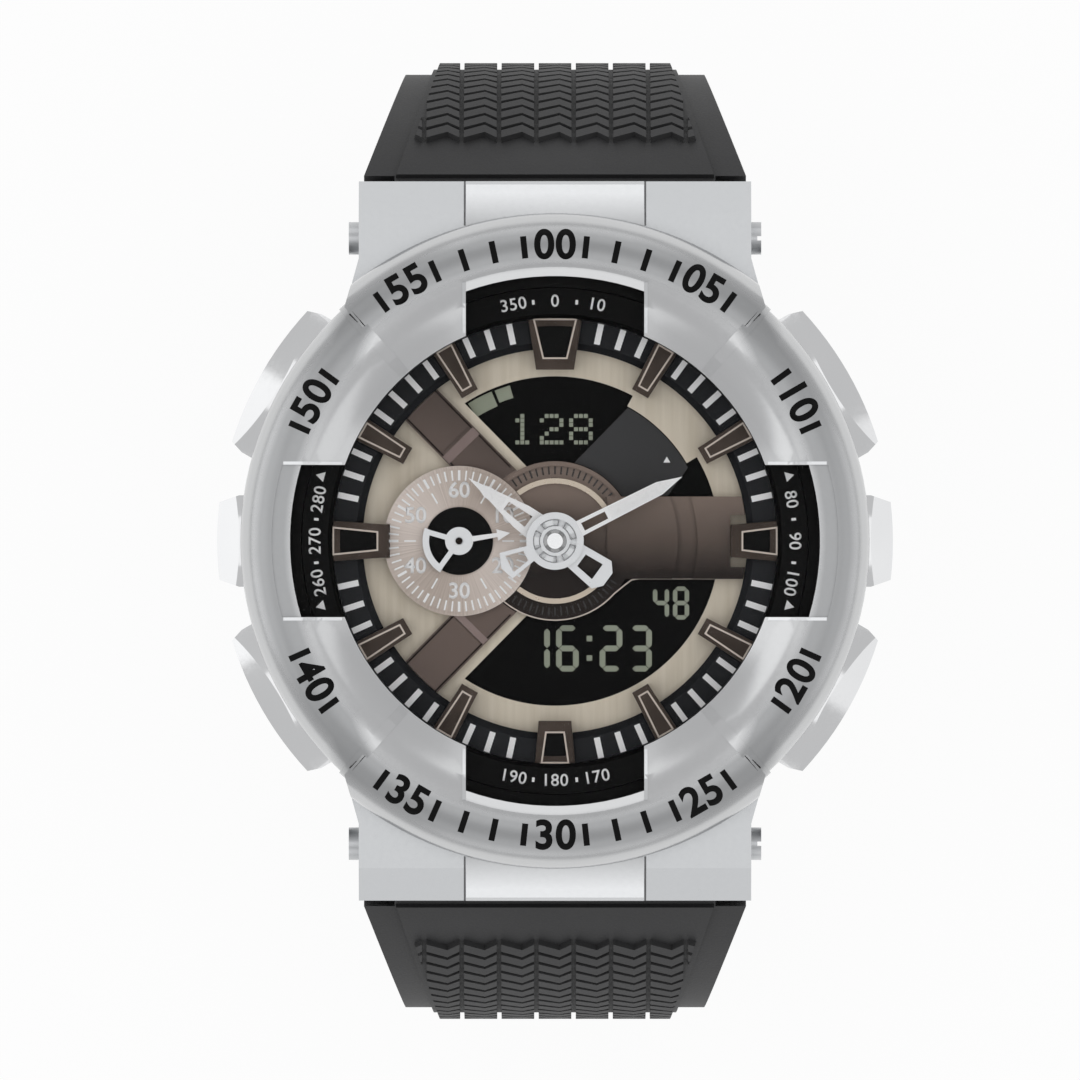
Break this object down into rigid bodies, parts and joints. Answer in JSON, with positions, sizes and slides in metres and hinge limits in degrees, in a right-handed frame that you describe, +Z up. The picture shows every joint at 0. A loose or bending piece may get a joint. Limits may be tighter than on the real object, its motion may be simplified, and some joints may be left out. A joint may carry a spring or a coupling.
{
  "type": "wristwatch",
  "caption": "Large sports wristwatch with hands, a small seconds dial, digital windows, side pushers and a moulded tread strap, open at its buckle",
  "frame": {"origin": "middle of the watch, on the plane that the curled strap stands on", "axes": "+Z up out of the dial, +Y towards 12 o'clock, +X towards 3 o'clock"},
  "size_m": [0.0516, 0.074, 0.0716],
  "materials": {
    "plated_case": "satin silver plating over moulded plastic",
    "pusher_chrome": "polished",
    "crystal": "clear, flat, polished",
    "black_rubber": "matte",
    "strap_rubber": "matte moulded, with a raised tread",
    "black_ring": "satin black",
    "dark_ring": "dark grey, fine grain",
    "white_paint": "white print",
    "brown_metal": "metallic brown lacquer",
    "champagne": "fine vertical brushing",
    "rose_champagne": "sunburst brushing",
    "gold": "polished",
    "lcd_glass": "black, glossy",
    "white_hand": "white lacquer with silver hub",
    "white_plastic": "moulded",
    "zebra_rubber": "striped contact rubber",
    "green_board": "solder mask",
    "copper": "enamelled winding",
    "steel": "brushed"
  },
  "bodies": {
    "case": {"case_middle": "plated_case", "bezel": "plated_case", "crystal": "crystal", "crystal_gasket": "black_rubber", "flange_ring": "black_ring", "chapter_ring": "dark_ring", "minute_ticks": "white_paint", "hour_indexes": "brown_metal", "index_inlays": "black_ring", "dial_plate": "champagne", "dial_bridge": "brown_metal", "centre_ring": "gold", "subdial_disc": "rose_champagne", "subdial_centre": "black_ring", "lcd_upper": "lcd_glass", "lcd_lower": "lcd_glass", "zebra_strips": "zebra_rubber", "module_frame": "white_plastic", "gear_plate": "gold", "circuit_board": "green_board", "battery": "steel", "battery_clip": "steel", "motor_coils": "copper", "piezo_disc": "gold", "piezo_spring": "steel", "module_pad": "black_rubber", "case_back": "steel", "back_gasket": "black_rubber", "back_screws": "steel", "pusher_seals": "black_rubber", "pusher_springs": "steel", "strap_pins": "steel", "strap_pin_screws": "steel"},
    "minute": {"cannon_pinion": "gold", "minute_hand": "white_hand", "hand_cap": "steel"},
    "hour": {"hour_wheel": "gold", "hour_hand": "white_hand"},
    "minute_wheel": {"minute_wheel": "gold"},
    "seconds": {"seconds_hand": "steel", "seconds_arbor": "steel"},
    "pusher_2": {"pusher_2": "pusher_chrome", "pusher_clip_2": "steel"},
    "pusher_3": {"pusher_3": "pusher_chrome", "pusher_clip_3": "steel"},
    "pusher_4": {"pusher_4": "pusher_chrome", "pusher_clip_4": "steel"},
    "pusher_8": {"pusher_8": "pusher_chrome", "pusher_clip_8": "steel"},
    "pusher_9": {"pusher_9": "pusher_chrome", "pusher_clip_9": "steel"},
    "pusher_10": {"pusher_10": "pusher_chrome", "pusher_clip_10": "steel"},
    "strap_upper": {"strap_upper": "strap_rubber"},
    "strap_lower": {"strap_lower": "strap_rubber"},
    "keeper": {"keeper": "strap_rubber"},
    "buckle": {"buckle_frame": "steel", "buckle_pin": "steel"},
    "prong": {"buckle_prong": "steel"}
  },
  "joints": [
    {"name": "minute_spin", "type": "hinge", "parent": "case", "child": "minute", "pos_m": [0, 0, 0.06654], "axis": [0, 0, -1], "continuous": true},
    {"name": "hour_spin", "type": "hinge", "parent": "case", "child": "hour", "pos_m": [0, 0, 0.06594], "axis": [0, 0, -1], "continuous": true},
    {"name": "minute_wheel_spin", "type": "hinge", "parent": "case", "child": "minute_wheel", "pos_m": [0.00336, 0, 0.06194], "axis": [0, 0, -1], "continuous": true},
    {"name": "seconds_spin", "type": "hinge", "parent": "case", "child": "seconds", "pos_m": [-0.00733, 0, 0.06544], "axis": [0, 0, -1], "continuous": true},
    {"name": "pusher_2_press", "type": "slide", "parent": "case", "child": "pusher_2", "axis": [-0.866, -0.5, 0], "range_m": [0, 0.0008], "stiffness_N_per_m": 1500, "springref_m": -0.0005, "deforming": ["pusher_springs"]},
    {"name": "pusher_3_press", "type": "slide", "parent": "case", "child": "pusher_3", "axis": [-1, 0, 0], "range_m": [0, 0.0008], "stiffness_N_per_m": 1500, "springref_m": -0.0005, "deforming": ["pusher_springs"]},
    {"name": "pusher_4_press", "type": "slide", "parent": "case", "child": "pusher_4", "axis": [-0.866, 0.5, 0], "range_m": [0, 0.0008], "stiffness_N_per_m": 1500, "springref_m": -0.0005, "deforming": ["pusher_springs"]},
    {"name": "pusher_8_press", "type": "slide", "parent": "case", "child": "pusher_8", "axis": [0.866, 0.5, 0], "range_m": [0, 0.0008], "stiffness_N_per_m": 1500, "springref_m": -0.0005, "deforming": ["pusher_springs"]},
    {"name": "pusher_9_press", "type": "slide", "parent": "case", "child": "pusher_9", "axis": [1, 0, 0], "range_m": [0, 0.0008], "stiffness_N_per_m": 1500, "springref_m": -0.0005, "deforming": ["pusher_springs"]},
    {"name": "pusher_10_press", "type": "slide", "parent": "case", "child": "pusher_10", "axis": [0.866, -0.5, 0], "range_m": [0, 0.0008], "stiffness_N_per_m": 1500, "springref_m": -0.0005, "deforming": ["pusher_springs"]},
    {"name": "strap_upper_swing", "type": "hinge", "parent": "case", "child": "strap_upper", "pos_m": [0, 0.0232, 0.05944], "axis": [1, 0, 0], "range_deg": [0, 20]},
    {"name": "strap_lower_swing", "type": "hinge", "parent": "case", "child": "strap_lower", "pos_m": [0, -0.0232, 0.05944], "axis": [1, 0, 0], "range_deg": [-20, 0]},
    {"name": "keeper_slide", "type": "slide", "parent": "strap_upper", "child": "keeper", "axis": [0, 1, 0], "range_m": [0, 0.009]},
    {"name": "buckle_swing", "type": "hinge", "parent": "strap_upper", "child": "buckle", "pos_m": [0, 0, 0.0184], "axis": [-1, 0, 0], "range_deg": [-40, 100]},
    {"name": "prong_swing", "type": "hinge", "parent": "buckle", "child": "prong", "pos_m": [0, 0, 0.0184], "axis": [1, 0, 0], "range_deg": [0, 45]}
  ],
  "couplings": [
    {"joint": "hour_spin", "follows": "minute_spin", "ratio": 0.083333},
    {"joint": "minute_wheel_spin", "follows": "minute_spin", "ratio": -0.33333}
  ]
}
